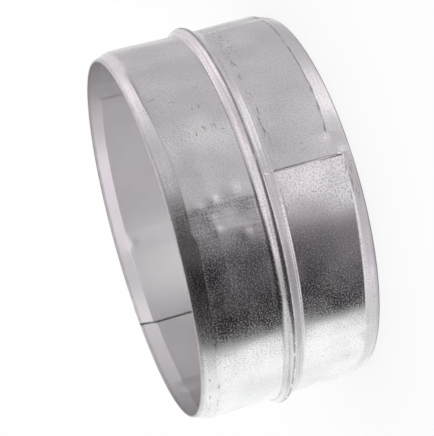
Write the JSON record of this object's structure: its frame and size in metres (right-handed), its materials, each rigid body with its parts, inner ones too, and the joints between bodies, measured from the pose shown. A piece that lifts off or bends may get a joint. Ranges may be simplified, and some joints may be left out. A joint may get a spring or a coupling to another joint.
{
  "type": "duct connector",
  "caption": "Short rolled sheet-steel sleeve with tapered ends and a raised stop bead round its middle, pushed inside two round ducts to join them.",
  "frame": {"origin": "centre of the lower rim, on the plane the sleeve stands on", "axes": "+Z along the duct axis, from the lower rim to the upper rim"},
  "size_m": [0.1644, 0.1644, 0.075],
  "materials": {
    "zinc_sheet": "bright galvanised sheet with fine grain and light forming marks"
  },
  "bodies": {
    "root": {"sleeve": "zinc_sheet"}
  },
  "joints": []
}
